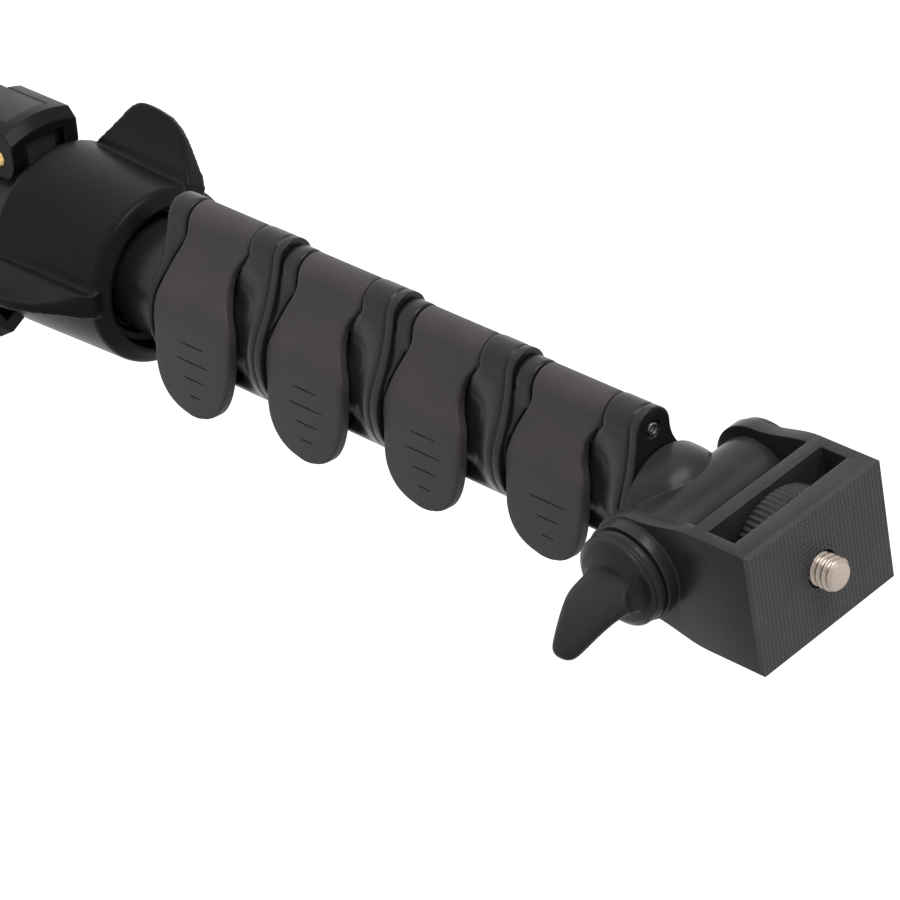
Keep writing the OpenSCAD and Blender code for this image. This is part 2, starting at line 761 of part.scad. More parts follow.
// Thumbwheel on the camera screw, with ribs all round its rim
wheel_z = plate_z - front_wall - slot_h / 2;
rib_count = 64;
rib_depth = 0.4;
module thumbwheel() {
    color([0.1, 0.1, 0.1]) translate([0, 0, wheel_z - wheel_t / 2]) difference() {
        linear_extrude(wheel_t) polygon([for (i = [0:2 * rib_count - 1])
            let (r = wheel_r - (i % 2) * rib_depth, a = i * 180 / rib_count) r * [cos(a), sin(a)]]);
        translate([0, 0, -1]) cylinder(r = screw_stub_r + seat_gap, h = wheel_t + 2);
    }
}

// Camera screw: the thread starts above a plain neck
neck_in = 0.2;
neck_h = 0.3;
module camera_screw() {
    collar_top = plate_z - front_wall - run_fit;
    wheel_low = wheel_z - wheel_t / 2;
    tip = 0.7;
    color([0.75, 0.75, 0.74]) {
        rod_z(screw_r - neck_in, collar_top - neck_h, plate_z + neck_h + 1);
        rod_z(screw_r, plate_z + neck_h, plate_z + screw_out - tip);
        translate([0, 0, plate_z + screw_out - tip])
            cylinder(r1 = screw_r, r2 = screw_r - tip, h = tip);
        rod_z(screw_r + 1.5, wheel_low + wheel_t + hair, collar_top);
        rod_z(screw_stub_r, plate_z - front_wall - slot_h - rear_wall + 0.4, collar_top);
    }
}

knob_low = plate_w / 2 + near_boss + 0.1;
knob_disc = 2.5;
bolt_end = knob_low + knob_disc - 0.6;
module tilt_bolt() {
    color([0.5, 0.5, 0.5]) translate([0, 0, tilt_z]) {
        rod_x(tilt_bolt_r, -plate_w / 2 - far_boss, bolt_end);
        rod_x(bolt_head_r, -plate_w / 2 - far_boss, bolt_head_t - plate_w / 2 - far_boss);
    }
}

module washer(side) {
    inner = tee_half + run_fit;
    color([0.8, 0.8, 0.76]) translate([0, 0, tilt_z]) difference() {
        rod_x(barrel_r - 0.2, side > 0 ? inner : -inner - washer_t, side > 0 ? inner + washer_t : -inner);
        rod_x(tilt_bolt_r + run_fit, -over, over);
    }
}

// Wing knob: a disc and one broad blade that bends towards +Y and narrows to its tip
module wing_knob() {
    x0 = knob_low;
    x1 = knob_low + knob_disc;
    dome = 2;
    color([0.15, 0.15, 0.16]) translate([0, 0, tilt_z]) difference() {
        union() {
            rod_x(knob_r, x0, x1);
            translate([x1, 0, 0]) rotate([0, 90, 0]) cylinder(r1 = knob_r, r2 = knob_r - 3, h = dome);
            intersection() {
                slab_z(-blade_root_w, blade_root_w) blade_strip(x1);
                slab_y(-over, over) blade_side(x1);
            }
        }
        rod_x(tilt_bolt_r + run_fit, x0 - 1, bolt_end + 0.2);
    }
}

// Bent strip of the blade in X and Y
module blade_strip(x1) {
    half = blade_t / 2;
    path = curve_points([[x1 - 1, 0.6], [x1 + 0.55 * blade_out, 0.4],
        [x1 + 0.45 * blade_out, 7.5], [x1 + blade_out, 9.2]], 9);
    end = [x1 + blade_out, 9.2];
    points = concat(path, [end]);
    function normal(i) = let (a = points[max(i - 1, 0)], b = points[min(i + 1, 9)],
        d = (b - a) / norm(b - a)) [-d[1], d[0]];
    function thick(i) = half * (1.6 - 0.75 * i / 9);
    polygon(concat([for (i = [0:9]) points[i] + thick(i) * normal(i)],
        [for (i = [9:-1:0]) points[i] - thick(i) * normal(i)]));
}

// Height of the blade, seen from the side, in X and Z
module blade_side(x1) {
    tip_r = blade_tip_w / 2;
    tip = [x1 + blade_out - tip_r, -2.7];
    translate(tip) circle(tip_r);
    polygon([[x1 - 2, blade_root_w / 2], [x1 + 2, blade_root_w / 2], tip + tip_r * [0.3, 0.95],
        tip + tip_r * [-0.2, -0.98], [x1 + 2, -blade_root_w / 2], [x1 - 2, -blade_root_w / 2]]);
}

hub();
collet();
twist_collar();
leg_top(1);  // leg_top_1
leg_top(2);  // leg_top_2
leg_top(3);  // leg_top_3
leg(1);  // leg_1
leg(2);  // leg_2
leg(3);  // leg_3
leg_foot(1);  // leg_foot_1
leg_foot(2);  // leg_foot_2
leg_foot(3);  // leg_foot_3
leg_pin(1);  // leg_pin_1
leg_pin(2);  // leg_pin_2
leg_pin(3);  // leg_pin_3
tube(1);  // tube_1
tube(2);  // tube_2
tube(3);  // tube_3
tube(4);  // tube_4
tube(5);  // tube_5
pole_plug();
sleeve(2);  // sleeve_2
sleeve(3);  // sleeve_3
sleeve(4);  // sleeve_4
sleeve(5);  // sleeve_5
collar(1);  // collar_1
collar(2);  // collar_2
collar(3);  // collar_3
collar(4);  // collar_4
lever(1);  // lever_1
lever(2);  // lever_2
lever(3);  // lever_3
lever(4);  // lever_4
hinge_pin(1);  // hinge_pin_1
hinge_pin(2);  // hinge_pin_2
hinge_pin(3);  // hinge_pin_3
hinge_pin(4);  // hinge_pin_4
brake_shoe(1);  // brake_shoe_1
brake_shoe(2);  // brake_shoe_2
brake_shoe(3);  // brake_shoe_3
brake_shoe(4);  // brake_shoe_4
tee();
head_bracket();
rubber_pad();
thumbwheel();
camera_screw();
tilt_bolt();
washer(1);  // washer_near
washer(-1);  // washer_far
wing_knob();
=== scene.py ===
"""Folded camera tripod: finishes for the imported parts, dressed pieces, studio and camera."""

import json
import math

import bmesh
import bpy
from bpy.props import FloatProperty, FloatVectorProperty, IntProperty, PointerProperty
from mathutils import Matrix, Vector


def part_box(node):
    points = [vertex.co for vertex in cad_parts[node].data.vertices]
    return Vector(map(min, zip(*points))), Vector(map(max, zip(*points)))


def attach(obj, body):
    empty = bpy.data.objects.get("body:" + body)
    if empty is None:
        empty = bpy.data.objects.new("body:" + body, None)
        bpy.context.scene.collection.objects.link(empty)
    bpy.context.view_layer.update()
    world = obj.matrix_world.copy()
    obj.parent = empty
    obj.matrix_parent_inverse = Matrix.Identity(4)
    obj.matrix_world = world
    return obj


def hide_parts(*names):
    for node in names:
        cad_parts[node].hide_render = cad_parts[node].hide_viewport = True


bl_info = {
    "name": "Folded Camera Tripod",
    "version": (1, 0, 0),
    "blender": (4, 5, 0),
    "location": "View3D > Sidebar > Tripod",
    "description": "Dresses the folded tripod: mouldings, metals, rubber, levers, head and studio",
    "category": "Object",
}

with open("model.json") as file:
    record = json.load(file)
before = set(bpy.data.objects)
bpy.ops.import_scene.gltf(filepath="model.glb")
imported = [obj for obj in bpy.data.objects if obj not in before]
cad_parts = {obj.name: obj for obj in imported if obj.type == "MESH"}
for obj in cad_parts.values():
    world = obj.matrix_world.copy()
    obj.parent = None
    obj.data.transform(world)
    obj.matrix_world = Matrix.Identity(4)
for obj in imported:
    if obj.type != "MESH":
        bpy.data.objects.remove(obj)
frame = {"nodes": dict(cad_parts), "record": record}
BODY_OF = {node: body for body, nodes in frame["record"]["behaviour"]["bodies"].items()
           for node in nodes}
SLOT_OF = {part["node"]: part["material_slot"] for part in frame["record"]["subparts"]}


def mm(*values):
    """A point or size given in millimetres, in metres."""
    return Vector([v / 1000 for v in values])


def colour(name, text, value):
    return FloatVectorProperty(name=name, description=text, default=value, min=0, max=1,
                               subtype="COLOR", size=3)


def length(name, text, value):
    return FloatProperty(name=name, description=text, default=value, min=0,
                         subtype="DISTANCE", unit="LENGTH")


class TripodColours(bpy.types.PropertyGroup):
    lever: colour("Lever grey", "Matt brownish grey of the four levers", (0.053, 0.0455, 0.0485))
    moulding: colour("Moulding black", "Satin black of the lever collars", (0.011, 0.0105, 0.011))
    twist: colour("Twist collar", "Black of the winged twist collar", (0.0075, 0.0072, 0.0072))
    head: colour("Head black", "Black of the tilt head", (0.031, 0.0285, 0.0295))
    pad: colour("Pad rubber", "Black of the rubber pad", (0.034, 0.032, 0.033))
    tube: colour("Tube", "Dark anodised tube", (0.024, 0.024, 0.024))
    leg: colour("Leg", "Dark anodised leg channel", (0.014, 0.014, 0.0145))
    nickel: colour("Nickel", "Plated camera screw", (0.40, 0.34, 0.295))
    steel: colour("Pin steel", "Rolled hinge pins", (0.2, 0.195, 0.19))
    brass: colour("Brass", "Leg pins", (0.74, 0.52, 0.20))


class TripodSizes(bpy.types.PropertyGroup):
    edge: length("Edge rounding", "Rounding of moulded edges", 0.00035)
    weave: length("Pad weave", "Spacing of the pad's woven pattern", 0.0009)
    thread: length("Thread pitch", "Pitch of the camera screw's thread", 0.00127)
    thread_depth: length("Thread depth", "Depth of the camera screw's thread", 0.00055)
    rib_depth: length("Rib depth", "Depth of the thumbwheel's ribs", 0.0004)
    ribs: IntProperty(name="Ribs", description="Number of ribs round the thumbwheel",
                      default=64, min=3)
    knob_skin: length("Knob fineness", "Mesh size of the wing knob", 0.00024)
    collar_skin: length("Collar fineness", "Mesh size of the lever collars", 0.00032)


class TripodStudio(bpy.types.PropertyGroup):
    focal: FloatProperty(name="Focal length", description="Lens in millimetres",
                         default=183.953, min=20, max=400)
    sky: FloatProperty(name="Sky", description="Strength of the even light", default=0.2,
                       min=0, max=2)
    key: FloatProperty(name="Key lamp", description="Power of the overhead softbox",
                       default=14, min=0, unit="POWER")
    fill: FloatProperty(name="Fill lamp", description="Power of the fill lamp",
                        default=1.6, min=0, unit="POWER")


# Shader helpers


def shader_group(name, inputs, outputs):
    """An empty shader group with its named sockets."""
    tree = bpy.data.node_groups.new(name, "ShaderNodeTree")
    for socket, kind, value in inputs:
        item = tree.interface.new_socket(socket, in_out="INPUT", socket_type=kind)
        item.default_value = value
    for socket, kind in outputs:
        tree.interface.new_socket(socket, in_out="OUTPUT", socket_type=kind)
    return tree, tree.nodes.new("NodeGroupInput"), tree.nodes.new("NodeGroupOutput")


def feed(tree, socket, value):
    """Links another socket to this one, or sets this one to a plain value."""
    if isinstance(value, bpy.types.NodeSocket):
        tree.links.new(value, socket)
    else:
        socket.default_value = value


def add(tree, kind, settings=None, **values):
    """A node with its settings. Its inputs are fed by name, or by number as i0, i1 and so on."""
    node = tree.nodes.new(kind)
    for key, value in (settings or {}).items():
        setattr(node, key, value)
    for key, value in values.items():
        numbered = key[0] == "i" and key[1:].isdigit()
        feed(tree, node.inputs[int(key[1:]) if numbered else key.replace("_", " ")], value)
    return node


def maths(tree, operation, a, b=0.0, c=0.0):
    return add(tree, "ShaderNodeMath", {"operation": operation}, i0=a, i1=b, i2=c).outputs[0]


def group_grain():
    """Moulding texture: a fine even grain and a slow change of tone."""
    tree, inp, out = shader_group(
        "Moulding grain",
        [("Scale", "NodeSocketFloat", 3000.0), ("Vector", "NodeSocketVector", (0, 0, 0))],
        [("Height", "NodeSocketFloat"), ("Tone", "NodeSocketFloat")])
    cells = add(tree, "ShaderNodeTexVoronoi", {"feature": "SMOOTH_F1"},
                Vector=inp.outputs["Vector"], Scale=inp.outputs["Scale"], Smoothness=0.6)
    slow = add(tree, "ShaderNodeTexNoise", None, Vector=inp.outputs["Vector"],
               Scale=maths(tree, "MULTIPLY", inp.outputs["Scale"], 0.03), Detail=3.0)
    tree.links.new(cells.outputs["Distance"], out.inputs["Height"])
    tree.links.new(slow.outputs["Fac"], out.inputs["Tone"])
    return tree


def group_edges():
    """Edge wear and painted edge highlight: a mask that is 1 on the edges, in patches, and a normal
    that rounds them.
    """
    tree, inp, out = shader_group(
        "Painted edge highlight and wear",
        [("Radius", "NodeSocketFloat", 0.0004), ("Vector", "NodeSocketVector", (0, 0, 0))],
        [("Mask", "NodeSocketFloat"), ("Normal", "NodeSocketVector")])
    bevel = add(tree, "ShaderNodeBevel", {"samples": 4}, Radius=inp.outputs["Radius"])
    face = add(tree, "ShaderNodeNewGeometry")
    dot = add(tree, "ShaderNodeVectorMath", {"operation": "DOT_PRODUCT"},
              i0=bevel.outputs["Normal"], i1=face.outputs["Normal"])
    edge = maths(tree, "SUBTRACT", 1.0, dot.outputs["Value"])
    patches = add(tree, "ShaderNodeTexNoise", None, Vector=inp.outputs["Vector"],
                  Scale=420.0, Detail=4.0)
    sharp = add(tree, "ShaderNodeMapRange", None, i0=edge, i1=0.02, i2=0.22)
    # Painted highlight and wear: the patchy mask that paints the edges pale.
    lit_and_worn = maths(tree, "MULTIPLY", sharp.outputs[0],
                 maths(tree, "ADD", patches.outputs["Fac"], 0.25))
    tree.links.new(lit_and_worn, out.inputs["Mask"])
    tree.links.new(bevel.outputs["Normal"], out.inputs["Normal"])
    return tree


def group_weave():
    """Basket weave: pairs of short ribs that cross, as height."""
    tree, inp, out = shader_group(
        "Basket weave",
        [("Pitch", "NodeSocketFloat", 0.0009), ("Vector", "NodeSocketVector", (0, 0, 0))],
        [("Height", "NodeSocketFloat")])
    spot = add(tree, "ShaderNodeSeparateXYZ", None, Vector=inp.outputs["Vector"])
    u, v = (maths(tree, "DIVIDE", spot.outputs[axis], inp.outputs["Pitch"]) for axis in "XY")

    def rib(t):
        return maths(tree, "ABSOLUTE", maths(tree, "SINE", maths(tree, "MULTIPLY", t, math.pi)))

    def crossing(a, b):
        return maths(tree, "MULTIPLY", rib(a), maths(tree, "POWER", rib(b), 0.35))

    square = maths(tree, "ADD", maths(tree, "FLOOR", u), maths(tree, "FLOOR", v))
    odd = maths(tree, "ABSOLUTE", maths(tree, "MODULO", square, 2.0))
    picked = add(tree, "ShaderNodeMix", {"data_type": "FLOAT"}, i0=odd, i2=crossing(u, v),
                 i3=crossing(v, u))
    tree.links.new(picked.outputs[0], out.inputs["Height"])
    return tree


GROUPS = {}


def use_group(tree, build, **values):
    """Places a shader group, which is built when it is first used."""
    if build not in GROUPS:
        GROUPS[build] = build()
    return add(tree, "ShaderNodeGroup", {"node_tree": GROUPS[build]}, **values)


def new_material(name):
    """A material with its node tree and its shader."""
    mat = bpy.data.materials.new(name)
    mat.use_nodes = True
    return mat, mat.node_tree, mat.node_tree.nodes["Principled BSDF"]


LIT_AND_WORN_EDGE = 0.0004


def moulded(name, tint, rough, grain=3000.0, depth=0.00002, wear_and_highlight=0.35, metal=0.0,
            pale=(0.09, 0.085, 0.085), specular=0.25):
    """Moulded, painted or metal surface: tone, grain and edges painted pale where they catch the
    light, partly as wear and partly as a painted highlight.
    """
    mat, tree, shader = new_material(name)
    place = add(tree, "ShaderNodeTexCoord").outputs["Object"]
    skin = use_group(tree, group_grain, Scale=grain, Vector=place)
    edges = use_group(tree, group_edges, Radius=LIT_AND_WORN_EDGE, Vector=place)

    def by_tone(low, high):
        return add(tree, "ShaderNodeMapRange", None, i0=skin.outputs["Tone"], i1=0.3, i2=0.7,
                   i3=low, i4=high).outputs[0]

    base = add(tree, "ShaderNodeVectorMath", {"operation": "SCALE"}, i0=tint,
               Scale=by_tone(0.82, 1.18))
    lit_and_worn = maths(tree, "MULTIPLY", edges.outputs["Mask"], wear_and_highlight)
    # Painted highlight and wear: the edges are mixed towards the pale colour.
    tinted = add(tree, "ShaderNodeMix", {"data_type": "RGBA"}, i0=lit_and_worn, i6=base.outputs[0],
                 i7=(*pale, 1.0))
    tree.links.new(tinted.outputs[2], shader.inputs["Base Color"])
    tree.links.new(by_tone(rough - 0.04, rough + 0.05), shader.inputs["Roughness"])
    bump = add(tree, "ShaderNodeBump", None, Strength=0.6, Distance=depth,
               Height=skin.outputs["Height"], Normal=edges.outputs["Normal"])
    tree.links.new(bump.outputs[0], shader.inputs["Normal"])
    shader.inputs["Metallic"].default_value = metal
    shader.inputs["Specular IOR Level"].default_value = specular
    return mat


def pad_rubber(tint, pitch):
    """Rubber pad with a basket weave on the face that looks up, and painted shade in the weave's
    hollows.
    """
    mat, tree, shader = new_material("Pad rubber")
    spots = add(tree, "ShaderNodeTexCoord")
    weave = use_group(tree, group_weave, Pitch=pitch, Vector=spots.outputs["Object"])
    skin = use_group(tree, group_grain, Scale=5000.0, Vector=spots.outputs["Object"])
    up = add(tree, "ShaderNodeSeparateXYZ", None, i0=spots.outputs["Normal"]).outputs["Z"]
    woven = maths(tree, "MULTIPLY", weave.outputs["Height"],
                  maths(tree, "GREATER_THAN", up, 0.99))
    # Painted shade: the base colour is darker where the weave is low.
    shade = add(tree, "ShaderNodeMapRange", None, i0=woven, i3=0.3, i4=1.25).outputs[0]
    base = add(tree, "ShaderNodeVectorMath", {"operation": "SCALE"}, i0=tint, Scale=shade)
    tree.links.new(base.outputs[0], shader.inputs["Base Color"])
    height = maths(tree, "MULTIPLY_ADD", skin.outputs["Height"], 0.25, woven)
    bump = add(tree, "ShaderNodeBump", None, Strength=0.9, Distance=0.00022, Height=height)
    tree.links.new(bump.outputs[0], shader.inputs["Normal"])
    rough = add(tree, "ShaderNodeMapRange", None, i0=skin.outputs["Tone"], i3=0.55, i4=0.68)
    tree.links.new(rough.outputs[0], shader.inputs["Roughness"])
    return mat


def make_materials(scene):
    """One finish for each material slot of the record."""
    c = scene.tripod_colours
    fine = 0.00001
    bare = dict(grain=1500, depth=fine, wear_and_highlight=0.0, metal=1.0)
    # The edge strength after grain and depth paints a pale highlight on the edges as well as wear;
    # it is strongest on the twist collar, head paint and leg tops.
    return {
        "hub_casting": moulded("Hub casting", c.head, 0.5, 2600, 0.00003, specular=0.15),
        "collet_nylon": moulded("Collet nylon", c.tube, 0.5),
        "twist_plastic": moulded("Twist collar plastic", c.twist, 0.32, 2800, fine, 0.8,
                                 specular=0.08, pale=(0.10, 0.096, 0.096)),
        "foot_rubber": moulded("Foot rubber", c.pad, 0.65, 2400, 0.00005, 0.1),
        "head_metal": moulded("Head paint", c.head, 0.3, 3000, fine, 0.9,
                              specular=0.14, pale=(0.15, 0.14, 0.14)),
        "pad_rubber": pad_rubber(c.pad, scene.tripod_sizes.weave),
        "wheel_plastic": moulded("Wheel plastic", c.head, 0.45, specular=0.2),
        "screw_steel": moulded("Screw nickel", c.nickel, 0.26, **bare),
        "pin_steel": moulded("Pin steel", c.steel, 0.3, **bare),
        "guide_nylon": moulded("Guide nylon", c.tube, 0.5, wear_and_highlight=0.0),
        "knob_plastic": moulded("Knob plastic", c.head, 0.34, 2600, fine, specular=0.12),
        "leg_top_plastic": moulded("Leg top plastic", c.twist, 0.3, 2600, fine, 0.8,
                                   specular=0.08),
        "leg_aluminium": moulded("Leg anodised", c.leg, 0.4, 3200, fine, metal=0.3),
        "pin_brass": moulded("Pin brass", c.brass, 0.28, **bare),
        "tube_aluminium": moulded("Tube anodised", c.tube, 0.26, 3200, fine / 2, metal=0.3),
        "collar_plastic": moulded("Collar plastic", c.moulding, 0.32, 2800, fine, specular=0.26),
        "lever_plastic": moulded("Lever plastic", c.lever, 0.52, 3400, 0.00003, 0.25,
                                 pale=(0.10, 0.092, 0.092)),
    }


MATERIALS = {}


def paint(obj, slot):
    """Gives the object the finish of a material slot, and no other."""
    if not MATERIALS:
        MATERIALS.update(make_materials(bpy.context.scene))
    obj.data.materials.clear()
    obj.data.materials.append(MATERIALS[slot])


class TRIPOD_OT_finishes(bpy.types.Operator):
    """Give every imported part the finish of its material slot"""
    bl_idname = "tripod.finishes"
    bl_label = "Finishes"

    def execute(self, context):
        for name, obj in frame["nodes"].items():
            paint(obj, SLOT_OF[name])
        return {"FINISHED"}


# Pieces


def put(name, data):
    """A new object in the scene."""
    obj = bpy.data.objects.new(name, data)
    bpy.context.scene.collection.objects.link(obj)
    return obj


def to_mesh(name, bm):
    """The bmesh as a mesh, with the bmesh freed."""
    mesh = bpy.data.meshes.new(name)
    bm.to_mesh(mesh)
    bm.free()
    return mesh


def dress(node, ending, mesh):
    """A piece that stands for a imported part, on its body and with its finish."""
    body, slot = BODY_OF[node], SLOT_OF[node]
    obj = put(f"{node}_{ending}", mesh)
    mesh.name = obj.name
    paint(obj, slot)
    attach(obj, body)
    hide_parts(node)
    return obj


def apply_modifiers(obj):
    """Turns the object's modifiers into its mesh."""
    graph = bpy.context.evaluated_depsgraph_get()
    done = bpy.data.meshes.new_from_object(obj.evaluated_get(graph), depsgraph=graph)
    obj.modifiers.clear()
    obj.data = done


def smooth_by_angle(mesh, degrees):
    """Smooth shading, with edges sharper than the angle kept sharp."""
    mesh.shade_smooth()
    mesh.set_sharp_from_angle(angle=math.radians(degrees))


def round_edges(obj, width, segments=3, angle=28.0):
    """Rounds the sharp edges of a clean mesh."""
    edge = obj.modifiers.new("Rounded edges", "BEVEL")
    edge.width = width
    edge.segments = segments
    edge.limit_method = "ANGLE"
    edge.angle_limit = math.radians(angle)
    edge.miter_outer = "MITER_ARC"
    apply_modifiers(obj)
    smooth_by_angle(obj.data, 40)


def add_even_skin(obj, size):
    """A step that gives the object one even skin."""
    step = obj.modifiers.new("Even skin", "REMESH")
    step.mode = "VOXEL"
    step.voxel_size = size


def add_soft_edges(obj, rounds):
    """A step that softens every edge, more with each round."""
    step = obj.modifiers.new("Soft edges", "SMOOTH")
    step.factor = 0.5
    step.iterations = rounds


def add_boolean(obj, tool, way):
    """A step that joins a tool on or cuts it away."""
    step = obj.modifiers.new(way, "BOOLEAN")
    step.operation = way
    step.solver = "EXACT"
    step.object = tool


def put_together(base, joins=(), cuts=()):
    """The base with some solids joined on and others cut away, as one mesh."""
    for tools, way in ((joins, "UNION"), (cuts, "DIFFERENCE")):
        for tool in tools:
            add_boolean(base, tool, way)
    apply_modifiers(base)
    mesh = base.data
    for obj in [base, *joins, *cuts]:
        bpy.data.objects.remove(obj)
    return mesh


def join(base, extra):
    """Adds the extra object's mesh to the base."""
    bm = bmesh.new()
    bm.from_mesh(base.data)
    bm.from_mesh(extra.data)
    bm.to_mesh(base.data)
    bm.free()
    bpy.data.objects.remove(extra)


def packed_shape(node, gap=2e-6):
    """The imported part's shape, with points closer than the gap joined."""
    bm = bmesh.new()
    bm.from_mesh(frame["nodes"][node].data)
    bmesh.ops.remove_doubles(bm, verts=bm.verts, dist=gap)
    return bm


def blank(name, bm):
    """A loose object from a bmesh, used while a piece is being put together."""
    bmesh.ops.recalc_face_normals(bm, faces=bm.faces)
    return put(name, to_mesh(name, bm))


def skin_over(name, rows, capped=True):
    """Closed rows of points, in millimetres, joined into a solid or into a closed ring."""
    bm = bmesh.new()
    made = [[bm.verts.new(mm(*spot)) for spot in row] for row in rows]
    around = len(made[0])
    for a, b in zip(made, made[1:] if capped else made[1:] + made[:1]):
        for i in range(around):
            j = (i + 1) % around
            bm.faces.new((a[i], a[j], b[j], b[i]))
    if capped:
        bm.faces.new(made[0])
        bm.faces.new(made[-1])
    return blank(name, bm)


def prism(points, low, high):
    """A solid drawn in Y and Z and carried along X, in millimetres."""
    return skin_over("prism", [[(x, y, z) for y, z in points] for x in (low, high)])


def upright(points, low, high):
    """A solid drawn in X and Y and carried up Z, in millimetres."""
    return skin_over("upright", [[(p.x, p.y, z) for p in points] for z in (low, high)])


def block(low, high):
    (x0, y0, z0), (x1, y1, z1) = low, high
    return prism([(y0, z0), (y1, z0), (y1, z1), (y0, z1)], x0, x1)


def grid_round(rings, steps, radius=None, axis="Z", centre=(0, 0, 0), capped=True):
    """Rings of (radius, distance along the axis) joined into one skin, in millimetres."""
    rows = []
    for number, (r, along) in enumerate(rings):
        row = []
        for i in range(steps):
            a = 2 * math.pi * i / steps
            reach = radius(number, r, along, a) if radius else r
            u, v = reach * math.cos(a), reach * math.sin(a)
            spot = (u, v, along) if axis == "Z" else (along, u, v)
            row.append([c + d for c, d in zip(centre, spot)])
        rows.append(row)
    return skin_over("round", rows, capped)


def rod(radius, low, high, steps=48, **place):
    """A plain round rod from low to high, in millimetres."""
    return grid_round([(radius, low), (radius, high)], steps, **place)


def curve_points(p, steps):
    """Points of a smooth curve with four guide points."""
    found = []
    for i in range(steps):
        t = i / steps
        weights = ((1 - t) ** 3, 3 * t * (1 - t) ** 2, 3 * t * t * (1 - t), t ** 3)
        found.append(tuple(sum(w * q[k] for w, q in zip(weights, p)) for k in (0, 1)))
    return found


def follow(points, y):
    """Height of a line of points at y."""
    for (y0, z0), (y1, z1) in zip(points, points[1:]):
        if y <= y1:
            return z0 if y1 - y0 < 1e-6 else z0 + (z1 - z0) * max(0, y - y0) / (y1 - y0)
    return points[-1][1]


def ease(t):
    """Goes smoothly from 0 to 1 as t does."""
    t = min(1, max(0, t))
    return t * t * (3 - 2 * t)


def level(node, end, axis=2):
    """Lowest (0) or highest (1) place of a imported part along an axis, in millimetres."""
    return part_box(node)[end][axis] * 1000


class Head:
    """Heights and half widths of the head's parts."""
    face = level("rubber_pad", 1)
    back = level("rubber_pad", 0)
    half_x = level("rubber_pad", 1, 0)
    half_y = level("rubber_pad", 1, 1)
    slot_low, slot_high = face - 11.4, face - 5.2
    tilt = (level("tilt_bolt", 0) + level("tilt_bolt", 1)) / 2
    near = level("head_bracket", 1, 0)
    far = level("head_bracket", 0, 0)
    wheel_low = level("thumbwheel", 0)
    wheel_high = level("thumbwheel", 1)
    wheel_r = level("thumbwheel", 1, 0)
    screw_low = level("camera_screw", 0)
    screw_top = level("camera_screw", 1)
    knob_low = level("wing_knob", 0, 0)
    tilt_axis = dict(axis="X", centre=(0, 0, tilt))


class TRIPOD_OT_bracket(bpy.types.Operator):
    """Slotted block with its two cheeks and round bosses"""
    bl_idname = "tripod.bracket"
    bl_label = "Head bracket"
    cheek = 2.54
    cheek_round = 10.0
    boss = 9.4
    slot_half = 14.5
    slot_floor = 2.8
    beyond = 60

    def execute(self, context):
        h = Head
        cheek, rounded, wide = self.cheek, self.cheek_round, self.beyond
        block_low = h.slot_low - self.slot_floor
        draw_in = [(h.half_y, h.face - 13), (h.half_y, h.face - 18),
                   (rounded + 0.6, h.tilt + 7), (rounded - 0.02, h.tilt)]
        side = [(h.half_y, h.back)] + curve_points(draw_in, 24)
        turn = [(rounded * math.cos(a), h.tilt - rounded * math.sin(a))
                for a in [math.pi * i / 40 for i in range(41)]]
        outline = side + turn + [(-y, z) for y, z in reversed(side)]
        body = prism(outline, -h.half_x, h.half_x)
        bosses = (rod(self.boss, h.half_x - 1, h.near, 96, **h.tilt_axis),
                  rod(self.boss, h.far, 1 - h.half_x, 96, **h.tilt_axis))
        between_cheeks = block((cheek - h.half_x, -wide, h.tilt - wide),
                               (h.half_x - cheek, wide, block_low))
        slot = block((-self.slot_half, -wide, h.slot_low), (self.slot_half, wide, h.slot_high))
        screw_hole = rod(3.225, h.slot_high - 1, h.face + 1)
        stem_hole = rod(2.55, block_low - 1, h.slot_low + 1)
        bolt_hole = rod(3.02, -wide, wide, **h.tilt_axis)
        bolt_head = rod(5.52, -wide, h.far + 1.4, **h.tilt_axis)
        mesh = put_together(body, bosses, [between_cheeks, slot, screw_hole, stem_hole,
                                           bolt_hole, bolt_head])
        piece = dress("head_bracket", "dressed", mesh)
        round_edges(piece, context.scene.tripod_sizes.edge)
        return {"FINISHED"}


class TRIPOD_OT_screw(bpy.types.Operator):
    """Camera screw with its cut thread and chamfered end"""
    bl_idname = "tripod.screw"
    bl_label = "Camera screw"
    full = 3.175
    chamfer = 0.75
    crest = 0.16
    flank = 0.62
    ring_gap = 0.085

    def execute(self, context):
        h = Head
        sizes = context.scene.tripod_sizes
        pitch, depth = sizes.thread * 1000, sizes.thread_depth * 1000
        full, start, end = self.full, h.slot_high, h.screw_top
        shank = [(0.6, h.screw_low), (2.2, h.screw_low), (2.5, h.screw_low + 0.3),
                 (2.5, h.wheel_high + 0.01), (4.5, h.wheel_high + 0.01),
                 (4.67, h.wheel_high + 0.15), (4.67, start - 0.2), (4.5, start - 0.05),
                 (full - depth, start - 0.05)]
        steps = int((end - start) / self.ring_gap)
        thread = [(full, start + (end - start) * i / steps) for i in range(steps + 1)]
        tip = [(full - self.chamfer - 0.45, end), (0.6, end)]

        def radius(number, r, along, a):
            if not len(shank) <= number < len(shank) + len(thread):
                return r
            turn = (along / pitch - a / (2 * math.pi)) % 1
            cut = min(1, max(0, (abs(2 * turn - 1) - self.crest) / self.flank))
            chamfered = full - max(0, along - (end - self.chamfer))
            return min(full - depth * cut, chamfered)

        mesh = put_together(grid_round(shank + thread + tip, 72, radius))
        piece = dress("camera_screw", "threaded", mesh)
        smooth_by_angle(piece.data, 38)
        return {"FINISHED"}


